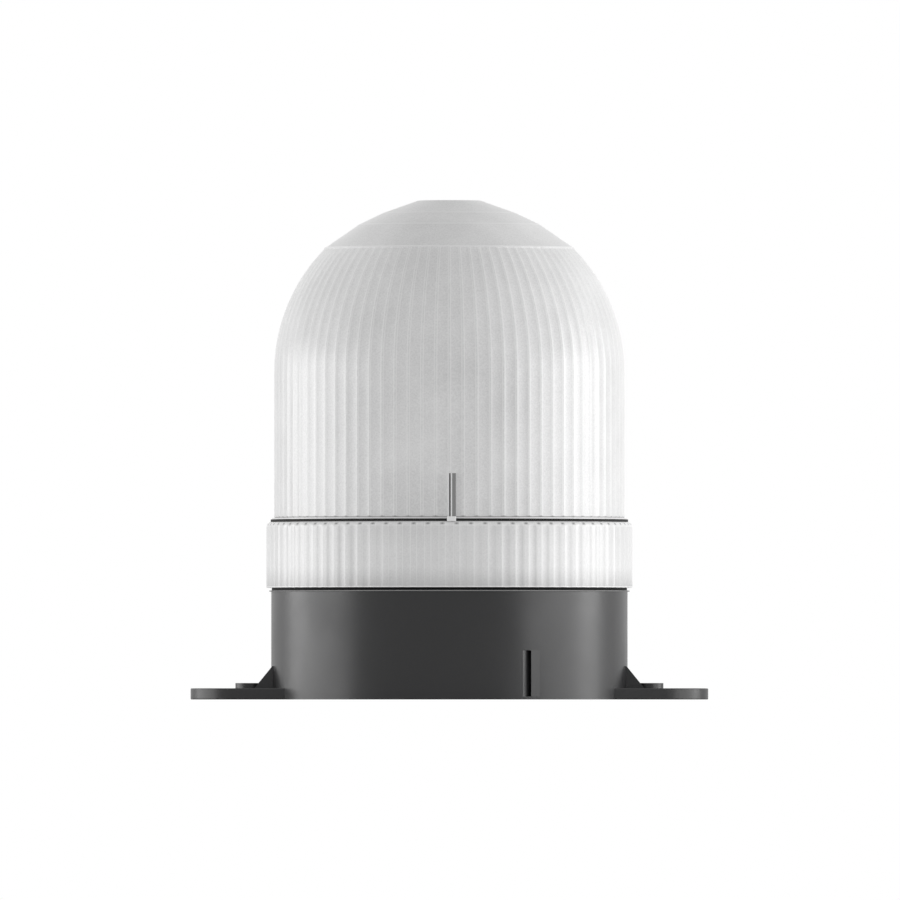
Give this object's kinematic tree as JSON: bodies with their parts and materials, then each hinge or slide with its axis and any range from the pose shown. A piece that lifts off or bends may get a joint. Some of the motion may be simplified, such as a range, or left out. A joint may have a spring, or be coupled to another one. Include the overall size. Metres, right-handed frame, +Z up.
{
  "type": "signal beacon",
  "caption": "Domed signal beacon: dark round base with mounting ears, clear fluted collar and a tall clear fluted dome.",
  "frame": {"origin": "middle of the mounting face, on the beacon's axis", "axes": "+Z up along the beacon's axis, +X through the right mounting ear, -Y towards the index rib at the front"},
  "size_m": [0.1386, 0.098, 0.1336],
  "materials": {
    "base_plastic": "fine moulded grain",
    "frosted_clear": "clear plastic with a light frost",
    "seal_rubber": "matt",
    "board": "white solder mask",
    "terminal_plastic": "moulded",
    "carrier_plastic": "moulded",
    "steel": "zinc plated",
    "brass": "plain",
    "copper_wire": "enamelled wire",
    "ferrite": "pressed ferrite",
    "capacitor_can": "drawn can",
    "chip_black": "moulded",
    "varistor_blue": "dipped",
    "tower_metal": "plain extrusion",
    "lamp_yellow": "phosphor"
  },
  "bodies": {
    "base": {"base_housing": "base_plastic", "mounting_gasket": "seal_rubber", "cable_grommet": "seal_rubber", "terminal_board": "board", "board_screws": "steel", "terminal_block": "terminal_plastic", "terminal_clamps": "brass", "terminal_screws": "steel", "contact_block": "terminal_plastic", "contact_springs": "brass"},
    "light_module": {"collar": "frosted_clear", "base_seal": "seal_rubber", "module_carrier": "carrier_plastic", "carrier_screws": "steel", "contact_arcs": "brass", "driver_board": "board", "driver_screws": "steel", "filter_capacitor": "capacitor_can", "choke_core": "ferrite", "choke_winding": "copper_wire", "driver_chip": "chip_black", "bridge_rectifier": "chip_black", "surge_varistor": "varistor_blue", "heat_sink_tower": "tower_metal", "tower_screws": "steel", "strip_board_1": "board", "strip_board_2": "board", "strip_board_3": "board", "strip_board_4": "board", "strip_board_5": "board", "strip_board_6": "board", "strip_lamps_1": "lamp_yellow", "strip_lamps_2": "lamp_yellow", "strip_lamps_3": "lamp_yellow", "strip_lamps_4": "lamp_yellow", "strip_lamps_5": "lamp_yellow", "strip_lamps_6": "lamp_yellow", "top_board": "board", "top_lamps": "lamp_yellow"},
    "dome_body": {"dome": "frosted_clear", "dome_seal": "seal_rubber"}
  },
  "joints": [
    {"name": "collar_twist", "type": "hinge", "parent": "base", "child": "light_module", "pos_m": [0, 0, 0.0292], "axis": [0, 0, 1], "range_deg": [0, 30]},
    {"name": "dome_twist", "type": "hinge", "parent": "light_module", "child": "dome_body", "pos_m": [0, 0, 0.04755], "axis": [0, 0, 1], "range_deg": [0, 30]}
  ]
}
